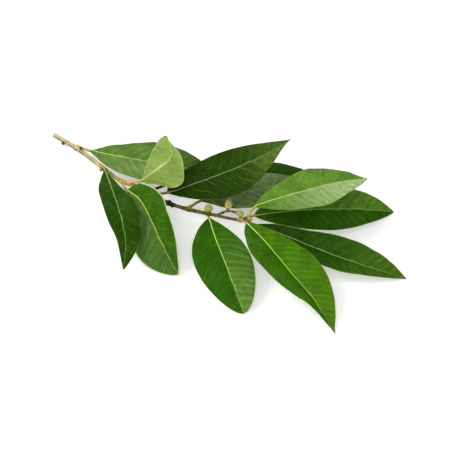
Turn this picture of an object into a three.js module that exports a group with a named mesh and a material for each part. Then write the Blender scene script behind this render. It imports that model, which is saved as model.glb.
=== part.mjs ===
// A cut sprig of bay laurel lying on a flat surface: a woody stem, twelve leaves on short stalks,
// a short flowering shoot with globe-shaped flower buds, leaf buds in the leaf axils and an end bud.
// Millimetres, +Z up. +X runs along the sprig from the cut end to the leafy tip. The cut end and the
// lowest leaf tips touch Z = 0, and the origin is below the middle of the whole sprig.
import * as THREE from "three";

// Clearance that a part keeps from the part it grows out of.
const JOINT_GAP = 0.3;

// ---- driving dimensions of the stem ----
const STEM_ROUTE = [
  [-133, 104, 1.8], [-114, 87, 5], [-93, 64, 9], [-80, 49, 12], [-66, 40, 14],
  [-47, 25, 16], [-31, 17, 17], [-14, 11, 18], [5, 6, 18], [15, 5, 19.5],
];
const CUT_RADIUS = 1.6;
const TIP_RADIUS = 1;
const NODE_SWELL = 0.3;
const NODE_LENGTH = 2.2;
const YEAR_RING = { at: 123, swell: 0.7, length: 4 };
const STEM_STEPS = 48;
const STEM_SIDES = 10;

// ---- driving dimensions shared by all leaves ----
const SHEET = 0.6;
const RIB_DEPTH = 0.8;
const RIB_WIDTH = 1;
const STALK_RADIUS = 0.8;
const STALK_STEPS = 3;
const BLADE_STEPS = 15;
const BLADE_START = 0.12;
const ACROSS = [-1, -0.7, -0.35, -0.08, 0, 0.08, 0.35, 0.7, 1];
const MARGIN_WAVES = 2.5;
// Halves narrower than this, at the base and the tip, have a smaller ripple.
const RIPPLE_WIDTH = 8;
// How far the blade's cross-sections keep square to its base-to-tip line instead of to a bent midrib.
const CHORD_SHARE = 0.5;

// Each leaf:
//   at      how far from the cut end its stalk leaves the stem
//   midrib  points that its midrib runs through, from the blade's base to its tip
//   faces   the way its glossy side faces, in equal steps from base to tip
//   left    its left half, seen from the stalk with the glossy side up: the widest reach, the share of
//           the blade's length where it is reached, and how the half narrows towards the base and
//           towards the tip (below 1 is rounder, above 1 is more drawn out)
//   right   its right half, in the same way
//   fold    angle in degrees at which both halves rise from the midrib
//   curl    how far its margins bend down, as a share of the half's reach
//   wave    height of the ripple along its margins
const LEAVES = [
  {
    name: "leaf_01", color: 0x5f8a48, at: 25, fold: 8, curl: 0.08, wave: 0.6,
    midrib: [[-104, 82, 8], [-84, 73, 12], [-59, 65, 14], [-35, 59, 15], [-12, 53, 14]],
    faces: [[0, 0, 1], [0, 0, 1]],
    left: [19, 0.54, 0.85, 0.8], right: [19.5, 0.5, 1, 0.9],
  },
  {
    name: "leaf_02", color: 0x2f6312, at: 56, fold: 15, curl: 0.08, wave: 0.6,
    midrib: [[-91, 58, 14], [-84, 34, 20], [-77, 10, 22], [-72, -11, 16], [-73, -30, 6]],
    faces: [[-0.1, -0.6, 0.8], [0.4, -0.6, 0.7], [0.4, -0.6, 0.7]],
    left: [13.4, 0.6, 1.2, 0.9], right: [12.2, 0.48, 1.05, 1],
  },
  {
    name: "leaf_03", color: 0x4a7c30, at: 80, fold: 25, curl: 0.1, wave: 0.6,
    midrib: [[-73.5, 35.5, 16.2], [-64, 26, 17], [-56, 11, 15], [-46, -11, 9.3], [-35, -30, 1.3]],
    faces: [[0.2, -0.5, 0.8], [-0.25, -0.75, 0.6], [-0.25, -0.75, 0.6]],
    left: [19, 0.48, 0.6, 0.85], right: [20, 0.58, 0.75, 0.65],
  },
  {
    name: "leaf_04", color: 0x93b35c, at: 87, fold: 12, curl: 0.05, wave: 0.5,
    midrib: [[-63, 40, 21], [-55, 39, 30], [-46, 37, 41], [-40, 38, 51], [-43, 46, 61]],
    faces: [[0.1, 0.6, -0.8], [0, 0.64, -0.77]],
    left: [19, 0.43, 1.2, 2.3], right: [14, 0.62, 0.75, 0.6],
  },
  {
    name: "leaf_05", color: 0x2c5c14, at: 103, fold: 8, curl: 0.1, wave: 0.6,
    midrib: [[-41, 48, 9], [-14, 56, 5], [15, 59, 4], [41, 60, 4], [73, 57, 3]],
    faces: [[0, 0, 1], [0, 0, 1]],
    left: [16, 0.5, 0.8, 1.1], right: [16, 0.5, 0.8, 1.1],
  },
  {
    name: "leaf_06", color: 0x24480c, at: 107, fold: 10, curl: 0.08, wave: 0.6,
    midrib: [[-44, 32, 17], [-24, 31, 28], [4, 38, 36], [26, 49, 39], [45, 64, 39]],
    faces: [[0, -0.64, 0.77], [0, -0.64, 0.77]],
    left: [14.4, 0.44, 0.55, 1.1], right: [18.2, 0.46, 1.1, 1.6],
  },
  {
    name: "leaf_07", color: 0x587848, at: 138, fold: 8, curl: 0.1, wave: 0.6,
    midrib: [[-20, 26, 15], [-5, 31, 14], [11, 35, 14], [28, 42, 12], [51, 52, 9]],
    faces: [[0, 0, 1], [0, 0, 1]],
    left: [17.5, 0.5, 0.8, 1], right: [17, 0.5, 0.8, 1],
  },
  {
    name: "leaf_08", color: 0x3f7f16, at: 154, fold: 8, curl: 0.12, wave: 0.6,
    midrib: [[-14, 8, 17], [-10, -9, 18], [-4, -27, 16], [3, -45, 9], [10, -63, 0.6]],
    faces: [[-0.2, -0.4, 0.9], [0, -0.4, 0.8], [0, -0.6, 0.8]],
    left: [18.4, 0.54, 0.85, 0.6], right: [20, 0.45, 0.75, 0.65],
  },
  {
    name: "leaf_09", color: 0x3c7d10, at: 178, fold: 25, curl: 0.08, wave: 0.6,
    midrib: [[12, 0.5, 20.8], [25, -16, 20], [41, -40, 18], [57, -59, 11], [71, -80, 0.3]],
    faces: [[0.1, -0.4, 0.87], [0.4, -0.35, 0.87], [0.6, -0.3, 0.8]],
    left: [20, 0.55, 0.75, 1.1], right: [20.3, 0.39, 1.15, 1.33],
  },
  {
    name: "leaf_10", color: 0x2d6011, at: 181, fold: 25, curl: 0.08, wave: 0.6,
    midrib: [[19, 2, 17], [40, -6, 14], [67, -17, 10], [96, -26, 5], [123, -33, 0.3]],
    faces: [[0.2, -0.17, 0.97], [0.2, -0.25, 0.95]],
    left: [15.2, 0.55, 0.75, 0.9], right: [13, 0.5, 1, 1],
  },
  {
    name: "leaf_11", color: 0x2d6010, at: 179, fold: 8, curl: 0.08, wave: 0.6,
    midrib: [[17.8, 9.4, 18], [46, 15, 17], [74, 19, 14], [96, 23, 9], [119, 28, 0.3]],
    faces: [[0, -0.5, 0.87], [0, -0.3, 0.95]],
    left: [17.5, 0.53, 0.55, 0.75], right: [16.5, 0.5, 0.78, 0.85],
  },
  {
    name: "leaf_12", color: 0x55903a, at: 182, fold: 8, curl: 0.08, wave: 0.6,
    midrib: [[18, 13, 23], [30, 15, 28], [54, 20, 33], [78, 27, 34], [98, 32, 32]],
    faces: [[0, 0, 1], [0, 0, 1]],
    left: [17.5, 0.5, 0.75, 1], right: [18, 0.52, 0.8, 0.9],
  },
];

// ---- driving dimensions of the flowering shoot ----
const SHOOT = {
  at: 160, route: [[-2.5, 10.2, 21.5], [1, 10.2, 22], [5, 9, 22]],
  rootRadius: 0.8, endRadius: 0.6,
};
const SHOOT_STEPS = 10;
const SHOOT_SIDES = 8;

// Each bud:
//   at      how far from the cut end it sits on the stem (END is the stem's tip), or
//   from    the point where it starts
//   points  the way it points
//   belly   the share of its length at which it is thickest
//   point   how pointed it is (0.5 is a globe, 1 a cone)
const END = "end";
const BUDS = [
  {
    name: "leaf_bud_01", color: 0x4a3320, at: 12, points: [0.1, -1, -0.2],
    length: 2.2, radius: 1.1, belly: 0.5, point: 0.4,
  },
  {
    name: "leaf_bud_02", color: 0x6b5a2a, at: 30, points: [0.3, -0.1, 1],
    length: 2.6, radius: 0.9, belly: 0.4, point: 0.8,
  },
  {
    name: "leaf_bud_03", color: 0x4f5a24, at: 59, points: [-0.8, -0.6, 0.1],
    length: 3, radius: 1.2, belly: 0.5, point: 0.5,
  },
  {
    name: "leaf_bud_04", color: 0xa3ab3c, from: [-74.4, 34.2, 18], points: [0.3, -0.94, 0.15],
    length: 5.2, radius: 0.8, belly: 0.4, point: 0.9,
  },
  {
    name: "flower_bud_01", color: 0x8c9a3a, at: 153.6, points: [-0.1, 0.7, 0.7],
    length: 5.4, radius: 2.5, belly: 0.55, point: 0.5,
  },
  {
    name: "flower_bud_02", color: 0xa6b45a, from: [-1, 11.2, 23], points: [0.2, 0.6, 0.8],
    length: 8, radius: 2.3, belly: 0.45, point: 0.6,
  },
  {
    name: "flower_bud_03", color: 0x7f8f34, from: [5.4, 8.9, 22.1], points: [1, 0.1, 0.2],
    length: 4.6, radius: 2.1, belly: 0.55, point: 0.5,
  },
  {
    name: "end_bud", color: 0x9a8a3c, at: END, points: [0.8, -0.1, 0.6],
    length: 4.5, radius: 1.2, belly: 0.4, point: 0.9,
  },
];
// How thick a bud is where it starts, as a share of its radius, and the radius of that foot in mm.
const BUD_NECK = 0.4;
const BUD_FOOT = 0.5;
const END_BUD_GAP = 1.2;
const BUD_STEPS = 8;
const BUD_SIDES = 10;

const UP = new THREE.Vector3(0, 0, 1);
const vec = (p) => new THREE.Vector3(...p);
const smooth = (x) => THREE.MathUtils.smoothstep(x, 0, 1);
const smoothCurve = (points) => new THREE.CatmullRomCurve3(points, false, "catmullrom", 0.5);

/** A closed surface through rings of equal point counts, joined to one point at each end. */
function loft(rings, first, last) {
  const count = rings[0].length;
  const points = [first, ...rings.flat(), last];
  const index = [];
  const at = (ring, k) => 1 + ring * count + (k % count);
  const span = (a, b) => points[a].distanceToSquared(points[b]);
  for (let k = 0; k < count; k++) {
    index.push(0, at(0, k + 1), at(0, k));
    for (let r = 0; r + 1 < rings.length; r++) {
      const [a, b, c, d] = [at(r, k), at(r, k + 1), at(r + 1, k + 1), at(r + 1, k)];
      // Split along the shorter diagonal, so that both sides of a thin twisted sheet split alike.
      if (span(a, c) < span(b, d)) index.push(a, b, c, a, c, d);
      else index.push(a, b, d, b, c, d);
    }
    index.push(at(rings.length - 1, k), at(rings.length - 1, k + 1), points.length - 1);
  }
  const geometry = new THREE.BufferGeometry().setFromPoints(points);
  geometry.setIndex(index);
  geometry.computeVertexNormals();
  return geometry;
}

/** A round rod along a curve. Its radius follows the share of the length; reach is the last ring's share. */
function rod(curve, radiusAt, steps, sides, reach = 1) {
  const rings = [];
  for (let i = 0; i <= steps; i++) {
    const share = (reach * i) / steps;
    const centre = curve.getPointAt(share);
    const forward = curve.getTangentAt(share);
    const across = new THREE.Vector3().crossVectors(UP, forward).normalize();
    const over = new THREE.Vector3().crossVectors(forward, across);
    const radius = radiusAt(share);
    const ring = [];
    for (let k = 0; k < sides; k++) {
      const angle = (2 * Math.PI * k) / sides;
      const point = centre.clone().addScaledVector(across, radius * Math.cos(angle));
      ring.push(point.addScaledVector(over, radius * Math.sin(angle)));
    }
    rings.push(ring);
  }
  return loft(rings, curve.getPointAt(0), curve.getPointAt(1));
}

// ---- stem ----
const stemCurve = smoothCurve(STEM_ROUTE.map(vec));
const STEM_LENGTH = stemCurve.getLength();

/** Radius of the stem at a distance from the cut end: a slow taper with a swelling at each leaf. */
function stemRadius(along) {
  const bump = (centre, height, length) => height * Math.exp(-(((along - centre) / length) ** 2));
  const taper = THREE.MathUtils.lerp(CUT_RADIUS, TIP_RADIUS, along / STEM_LENGTH);
  const nodes = LEAVES.map((leaf) => bump(leaf.at, NODE_SWELL, NODE_LENGTH));
  return taper + Math.max(...nodes) + bump(YEAR_RING.at, YEAR_RING.swell, YEAR_RING.length);
}

/** Where a part that is as thick as its own radius starts, clear of the bark, on its way to a target. */
function rootPoint(along, target, ownRadius) {
  const centre = stemCurve.getPointAt(along / STEM_LENGTH);
  const forward = stemCurve.getTangentAt(along / STEM_LENGTH);
  const way = target.clone().sub(centre).normalize();
  const lean = way.dot(forward);
  const out = way.addScaledVector(forward, -lean).normalize();
  return centre.addScaledVector(out, stemRadius(along) + ownRadius * Math.abs(lean) + JOINT_GAP);
}

// ---- leaves ----
/** How far a half of a blade reaches from the midrib at share t of its length. */
function reachAt([widest, at, base, tip], t) {
  const power = Math.log(0.5) / Math.log(at);
  const arch = Math.max(Math.sin(Math.PI * t ** power), 0);
  return widest * arch ** THREE.MathUtils.lerp(base, tip, t);
}

/** The way the glossy side faces at share t of the blade's length. */
function facing(leaf, t) {
  const span = leaf.faces.length - 1;
  const step = Math.min(Math.floor(t * span), span - 1);
  return vec(leaf.faces[step]).lerp(vec(leaf.faces[step + 1]), t * span - step);
}

/** One closed ring round a leaf: over the glossy side from left to right, and back underneath. */
function leafRing(leaf, centre, forward, t, flat) {
  const face = facing(leaf, t);
  const normal = face.addScaledVector(forward, -face.dot(forward)).normalize();
  const side = new THREE.Vector3().crossVectors(forward, normal);
  const rise = THREE.MathUtils.degToRad(leaf.fold) * flat;
  const place = (s, under) => {
    const width = Math.hypot(STALK_RADIUS * (1 - t), reachAt(s < 0 ? leaf.left : leaf.right, t));
    const reach = Math.abs(s) * width;
    const ripple = leaf.wave * Math.sin(Math.PI * (2 * MARGIN_WAVES * t + (s < 0 ? 0 : 0.5)));
    const bend = (ripple * smooth(width / RIPPLE_WIDTH) - leaf.curl * width) * s * s * flat;
    const stalk = STALK_RADIUS * (1 - flat) * Math.sqrt(1 - s * s);
    const sheet = (SHEET / 2) * flat * Math.sqrt(1 - s ** 4);
    const rib = RIB_DEPTH * (1 - t) * flat * Math.exp(-((reach / RIB_WIDTH) ** 2));
    const thickness = under ? -(stalk + sheet + rib) : stalk + sheet;
    const point = centre.clone().addScaledVector(side, Math.sign(s) * reach * Math.cos(rise));
    return point.addScaledVector(normal, reach * Math.sin(rise) + bend + thickness);
  };
  const over = ACROSS.map((s) => place(s, false));
  const back = ACROSS.slice(1, -1).reverse().map((s) => place(s, true));
  return [...over, ...back];
}

/** A whole leaf: its round stalk from beside the stem, which flattens out into the blade. */
function leafGeometry(leaf) {
  const midrib = leaf.midrib.map(vec);
  const start = rootPoint(leaf.at, midrib[0], STALK_RADIUS);
  const curve = smoothCurve([start, ...midrib]);
  const stalk = start.distanceTo(midrib[0]) / curve.getLength();
  const chord = midrib.at(-1).clone().sub(midrib[0]).normalize();
  const ring = (share, t, flat) => {
    const forward = curve.getTangentAt(share).lerp(chord, CHORD_SHARE * flat).normalize();
    return leafRing(leaf, curve.getPointAt(share), forward, t, flat);
  };
  const rings = [];
  for (let i = 0; i < STALK_STEPS; i++) rings.push(ring((stalk * i) / STALK_STEPS, 0, 0));
  for (let i = 0; i < BLADE_STEPS; i++) {
    const t = (1 - Math.cos((Math.PI * i) / BLADE_STEPS)) / 2;
    rings.push(ring(THREE.MathUtils.lerp(stalk, 1, t), t, smooth(t / BLADE_START)));
  }
  return loft(rings, start, midrib.at(-1));
}

// ---- flowering shoot and buds ----
function shootGeometry() {
  const route = SHOOT.route.map(vec);
  const curve = smoothCurve([rootPoint(SHOOT.at, route[0], SHOOT.rootRadius), ...route]);
  const radiusAt = (share) => THREE.MathUtils.lerp(SHOOT.rootRadius, SHOOT.endRadius, share);
  return rod(curve, radiusAt, SHOOT_STEPS, SHOOT_SIDES);
}

/** Where a bud starts: at its own point, clear of the bark, or clear of the stem's tip. */
function budRoot(bud, way) {
  if (bud.from) return vec(bud.from);
  if (bud.at === END) return stemCurve.getPointAt(1).addScaledVector(way, END_BUD_GAP);
  return rootPoint(bud.at, stemCurve.getPointAt(bud.at / STEM_LENGTH).add(way), BUD_FOOT);
}

function budGeometry(bud) {
  const way = vec(bud.points).normalize();
  const start = budRoot(bud, way);
  const curve = new THREE.LineCurve3(start, start.clone().addScaledVector(way, bud.length));
  const radiusAt = (share) => {
    const end = share < bud.belly ? 0 : 1;
    const off = (share - bud.belly) / (end - bud.belly);
    const body = bud.radius * (1 - off * off) ** bud.point;
    return end === 0 ? Math.max(body, BUD_NECK * bud.radius) : body;
  };
  return rod(curve, radiusAt, BUD_STEPS, BUD_SIDES, BUD_STEPS / (BUD_STEPS + 1));
}

// ---- assembly ----
const BARK = { color: 0xa98f55, roughness: 0.7 };
const SHOOT_GREEN = { color: 0x9a9a44, roughness: 0.6 };

const sprig = new THREE.Group();
sprig.name = "bay_sprig";

function add(name, geometry, finish) {
  const mesh = new THREE.Mesh(geometry, new THREE.MeshStandardMaterial({ metalness: 0, ...finish }));
  mesh.name = name;
  sprig.add(mesh);
}

add("main_stem", rod(stemCurve, (share) => stemRadius(share * STEM_LENGTH), STEM_STEPS, STEM_SIDES), BARK);
for (const leaf of LEAVES) add(leaf.name, leafGeometry(leaf), { color: leaf.color, roughness: 0.4 });
add("flower_shoot", shootGeometry(), SHOOT_GREEN);
for (const bud of BUDS) add(bud.name, budGeometry(bud), { color: bud.color, roughness: 0.6 });

// Move the sprig so that the origin is below its middle and its lowest point is at Z = 0.
const box = new THREE.Box3().setFromObject(sprig, true);
const middle = box.getCenter(new THREE.Vector3());
for (const mesh of sprig.children) mesh.geometry.translate(-middle.x, -middle.y, -box.min.z);

export default sprig;
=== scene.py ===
"""A cut sprig of bay laurel on a pale table: its stem, leaves, flowering shoot and buds.

Lengths are millimetres in the layout in which the sprig is drawn. The layout's place in the frame
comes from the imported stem, and meshes are turned into metres when they are made.
"""

import logging
import math
from dataclasses import dataclass, field
from enum import Enum

import bpy
import numpy as np
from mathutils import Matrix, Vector


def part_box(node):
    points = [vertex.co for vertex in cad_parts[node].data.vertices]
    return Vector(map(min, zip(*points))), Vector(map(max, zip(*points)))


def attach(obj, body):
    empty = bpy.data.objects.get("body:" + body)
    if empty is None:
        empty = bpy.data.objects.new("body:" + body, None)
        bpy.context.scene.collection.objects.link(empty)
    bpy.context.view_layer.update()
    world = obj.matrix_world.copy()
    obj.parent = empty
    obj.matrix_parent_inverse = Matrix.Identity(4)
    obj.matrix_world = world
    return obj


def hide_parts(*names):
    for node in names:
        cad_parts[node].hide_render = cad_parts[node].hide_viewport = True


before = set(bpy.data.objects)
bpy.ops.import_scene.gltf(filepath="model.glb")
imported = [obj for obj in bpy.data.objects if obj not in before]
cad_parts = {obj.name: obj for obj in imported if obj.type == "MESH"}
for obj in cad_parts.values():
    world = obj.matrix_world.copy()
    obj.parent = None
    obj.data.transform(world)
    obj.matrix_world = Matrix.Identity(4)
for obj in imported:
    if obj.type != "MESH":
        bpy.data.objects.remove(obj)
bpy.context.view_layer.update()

Array = np.ndarray
Point = tuple[float, float, float]
Socket = bpy.types.NodeSocket
Node = bpy.types.Node

METRE = 0.001
UP = np.array([0.0, 0.0, 1.0])
EAST = np.array([1.0, 0.0, 0.0])
STEEP = 0.9
BODY = "root"
log = logging.getLogger("bay_sprig")


# ---- arithmetic ----
def smooth(x: Array | float) -> Array:
    """Eases from 0 to 1 as x does, and holds outside."""
    x = np.clip(x, 0.0, 1.0)
    return x * x * (3 - 2 * x)


def lerp(a: Array | float, b: Array | float, share: Array | float) -> Array:
    """The value that lies share of the way from a to b."""
    return a + (b - a) * share


def unit(v: Array) -> Array:
    """Vectors of the same directions with length 1."""
    return v / np.maximum(np.linalg.norm(v, axis=-1, keepdims=True), 1e-9)


def hump(x: Array, centre: float, width: float) -> Array:
    """A bell of height 1."""
    return np.exp(-(((x - centre) / width) ** 2))


def turns(sides: int) -> Array:
    """Angles round a ring, as one row."""
    return np.linspace(0, 2 * math.pi, sides, endpoint=False)[None, :]


def hoops(centre: Array, forward: Array, radius: Array, angle: Array) -> Array:
    """Rings of points round a line.

    Args:
        centre: The middle of each ring.
        forward: The way the line runs, at each ring or throughout.
        radius: The radius at each point of each ring.
        angle: The angle of each point.

    Returns:
        The points, as rings by points by axes.
    """
    across = unit(np.cross(UP if np.ndim(forward) > 1 or abs(forward[2]) < STEEP else EAST, forward))
    over = np.cross(forward, across)
    if np.ndim(forward) > 1:
        across, over = across[:, None], over[:, None]
    ring = across * np.cos(angle)[..., None] + over * np.sin(angle)[..., None]
    return centre[:, None] + radius[..., None] * ring


def linear(code: str) -> tuple[float, float, float, float]:
    """Turns a colour code such as "#2f5e14" into the linear colour that shaders take.

    Args:
        code: Six hexadecimal digits after a hash sign.

    Returns:
        Red, green, blue and an alpha of 1.
    """
    parts = [int(code[i : i + 2], 16) / 255 for i in (1, 3, 5)]
    tones = [c / 12.92 if c <= 0.04045 else ((c + 0.055) / 1.055) ** 2.4 for c in parts]
    return (*tones, 1.0)


class Waves:
    """Smooth irregular values made of a few sine waves, the same on every run."""

    def __init__(self, seed: int, count: int = 6) -> None:
        """Draws the waves.

        Args:
            seed: Picks the set of waves.
            count: How many waves are added up.
        """
        draw = np.random.default_rng(seed)
        self.pitch = draw.uniform(0.6, 2.2, (count, 2)) * draw.choice([-1, 1], (count, 2))
        self.start = draw.uniform(0, 2 * math.pi, count)

    def at(self, x: Array, y: Array, size: float) -> Array:
        """The value at each place, between about -1 and 1.

        Args:
            x: First coordinate.
            y: Second coordinate.
            size: Typical distance from a crest to the next.

        Returns:
            An array of the shape that x and y have together.
        """
        total = 0.0
        for (a, b), start in zip(self.pitch, self.start):
            total = total + np.sin(2 * math.pi * (a * x + b * y) / (1.5 * size) + start)
        return total / math.sqrt(2 * len(self.start))


class Route:
    """A smooth open curve through points, walked by its length."""

    SAMPLES = 120

    def __init__(self, points: list[Point] | Array) -> None:
        """Lays the curve through the points."""
        knots = np.array(points, float)
        ends = np.vstack([2 * knots[0] - knots[1], knots, 2 * knots[-1] - knots[-2]])
        u = np.linspace(0, len(knots) - 1, self.SAMPLES * (len(knots) - 1) + 1)
        leg = np.minimum(u.astype(int), len(knots) - 2)
        w = (u - leg)[:, None]
        before, a, b, after = ends[leg], ends[leg + 1], ends[leg + 2], ends[leg + 3]
        leave, arrive = (b - before) / 2, (after - a) / 2
        cubic, square = 2 * a - 2 * b + leave + arrive, -3 * a + 3 * b - 2 * leave - arrive
        self.points = cubic * w**3 + square * w**2 + leave * w + a
        steps = np.linalg.norm(np.diff(self.points, axis=0), axis=1)
        self.walked = np.concatenate([[0.0], np.cumsum(steps)])
        self.length = float(self.walked[-1])
        self.knots = self.walked[:: self.SAMPLES]

    def at(self, share: Array | float) -> Array:
        """The places at shares of the length. Below 0 it runs straight back."""
        share = np.atleast_1d(np.asarray(share, float))
        found = [np.interp(share * self.length, self.walked, axis) for axis in self.points.T]
        back = np.minimum(share, 0)[:, None] * self.length
        return np.stack(found, axis=1) + back * unit(self.points[1] - self.points[0])

    def heading(self, share: Array | float) -> Array:
        """The directions of travel at shares of the length."""
        share = np.clip(np.atleast_1d(np.asarray(share, float)), 0, 1)
        nudge = 0.5 / self.SAMPLES
        return unit(self.at(np.minimum(share + nudge, 1)) - self.at(np.maximum(share - nudge, 0)))


@dataclass
class Skin:
    """A closed surface through rings of points, with a named value painted on every point.

    Attributes:
        rings: Points in the layout, as rings by points by axes.
        marks: Painted values, as rings by points or of a shape that spreads to it.
    """

    rings: Array
    marks: dict[str, Array] = field(default_factory=dict)

    def build(self, name: str, material: bpy.types.Material, place: Array) -> bpy.types.Object:
        """Makes the mesh object.

        Args:
            name: The piece's name.
            material: Its finish.
            place: The layout's place in the frame, in millimetres.

        Returns:
            The new object, linked to the scene.
        """
        count, around = self.rings.shape[:2]
        first, last = self.rings[0].mean(axis=0), self.rings[-1].mean(axis=0)
        points = np.vstack([first, self.rings.reshape(-1, 3), last])
        ring = np.arange(count - 1)[:, None] * around + 1
        here = np.arange(around)
        ahead = (here + 1) % around
        walls = np.stack([ring + here, ring + ahead, ring + around + ahead, ring + around + here], axis=-1)
        top = 1 + (count - 1) * around
        ends = [(0, 1 + b, 1 + a) for a, b in zip(here, ahead)]
        ends += [(top + a, top + b, len(points) - 1) for a, b in zip(here, ahead)]
        mesh = bpy.data.meshes.new(name)
        mesh.from_pydata(((points + place) * METRE).tolist(), [], walls.reshape(-1, 4).tolist() + ends)
        mesh.polygons.foreach_set("use_smooth", [True] * len(mesh.polygons))
        for mark, values in self.marks.items():
            self._paint(mesh, mark, np.broadcast_to(values, (count, around)))
        mesh.materials.append(material)
        mesh.validate()
        piece = bpy.data.objects.new(name, mesh)
        bpy.context.scene.collection.objects.link(piece)
        return piece

    @staticmethod
    def _paint(mesh: bpy.types.Mesh, mark: str, values: Array) -> None:
        """Stores one painted value on the mesh's points."""
        spread = np.concatenate([[values[0].mean()], values.ravel(), [values[-1].mean()]])
        layer = mesh.attributes.new(mark, "FLOAT", "POINT")
        layer.data.foreach_set("value", spread.astype(np.float32))


def seat(piece: bpy.types.Object, node: str) -> None:
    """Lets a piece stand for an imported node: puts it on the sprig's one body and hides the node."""
    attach(piece, BODY)
    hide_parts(node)
    log.info("%s stands for %s with %d faces", piece.name, node, len(piece.data.polygons))


# ---- finishes ----
class Wiring:
    """The shader nodes of one material or of the world."""

    def __init__(self, owner: bpy.types.Material | bpy.types.World) -> None:
        """Starts with no nodes."""
        self.owner = owner
        owner.use_nodes = True
        self.tree = owner.node_tree
        self.tree.nodes.clear()

    @classmethod
    def material(cls, name: str) -> "Wiring":
        """The wiring of a new material."""
        return cls(bpy.data.materials.new(name))

    def add(self, kind: str, inputs: dict[str | int, object] | None = None, **settings: object) -> Node:
        """Adds a node.

        Args:
            kind: The node's type.
            inputs: Socket to the value or the socket that feeds it.
            **settings: The node's own settings.

        Returns:
            The new node.
        """
        node = self.tree.nodes.new(kind)
        for key, value in settings.items():
            setattr(node, key, value)
        for key, value in (inputs or {}).items():
            if isinstance(value, Socket):
                self.tree.links.new(value, node.inputs[key])
            else:
                node.inputs[key].default_value = value
        return node

    def mark(self, name: str) -> Socket:
        """A value painted on the mesh."""
        return self.add("ShaderNodeAttribute", attribute_name=name).outputs["Fac"]

    def math(self, operation: str, a: Socket | float, b: Socket | float = 0.0) -> Socket:
        """Arithmetic on two values."""
        return self.add("ShaderNodeMath", {0: a, 1: b}, operation=operation).outputs[0]

    def times(self, a: Socket, *factors: Socket | float) -> Socket:
        """A value multiplied by others."""
        for factor in factors:
            a = self.math("MULTIPLY", a, factor)
        return a

    def ramp(self, value: Socket, low: float, high: float, start: float = 0.0, end: float = 1.0) -> Socket:
        """Eases from start to end while the value goes from low to high."""
        limits = {"Value": value, "From Min": low, "From Max": high, "To Min": start, "To Max": end}
        return self.add("ShaderNodeMapRange", limits, interpolation_type="SMOOTHSTEP").outputs["Result"]

    def blend(self, share: Socket | float, a: Socket | str, b: Socket | str) -> Socket:
        """A colour between a and b, each a socket or a colour code."""
        a, b = (linear(tint) if isinstance(tint, str) else tint for tint in (a, b))
        return self.add("ShaderNodeMix", {0: share, 6: a, 7: b}, data_type="RGBA").outputs[2]

    def place(self, x: Socket | float, y: Socket | float, z: Socket | float = 0.0) -> Socket:
        """Three values as one texture place."""
        return self.add("ShaderNodeCombineXYZ", {0: x, 1: y, 2: z}).outputs[0]

    def noise(self, where: Socket, scale: float, detail: float = 3.0) -> Socket:
        """Cloudy values between 0 and 1."""
        inputs = {"Vector": where, "Scale": scale, "Detail": detail, "Roughness": 0.55}
        return self.add("ShaderNodeTexNoise", inputs).outputs[0]

    def net(self, where: Socket, scale: float) -> Socket:
        """The distance from a net's nearest thread, as a share of its mesh."""
        inputs = {"Vector": where, "Scale": scale, "Randomness": 0.9}
        return self.add("ShaderNodeTexVoronoi", inputs, feature="DISTANCE_TO_EDGE").outputs["Distance"]

    def close(self, inputs: dict[str, object], height: Socket) -> bpy.types.Material:
        """Closes a material with its surface shader.

        Args:
            inputs: The shader's sockets and what feeds them.
            height: The height of its fine relief, in millimetres.

        Returns:
            The finished material.
        """
        bump = self.add("ShaderNodeBump", {"Height": height, "Distance": METRE, "Strength": 1.0})
        inputs = {**inputs, "Normal": bump.outputs["Normal"]}
        self.output(self.add("ShaderNodeBsdfPrincipled", inputs))
        return self.owner

    def output(self, shader: Node, kind: str = "ShaderNodeOutputMaterial") -> None:
        """Joins the last shader to the output."""
        self.add(kind, {"Surface": shader.outputs[0]})


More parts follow.
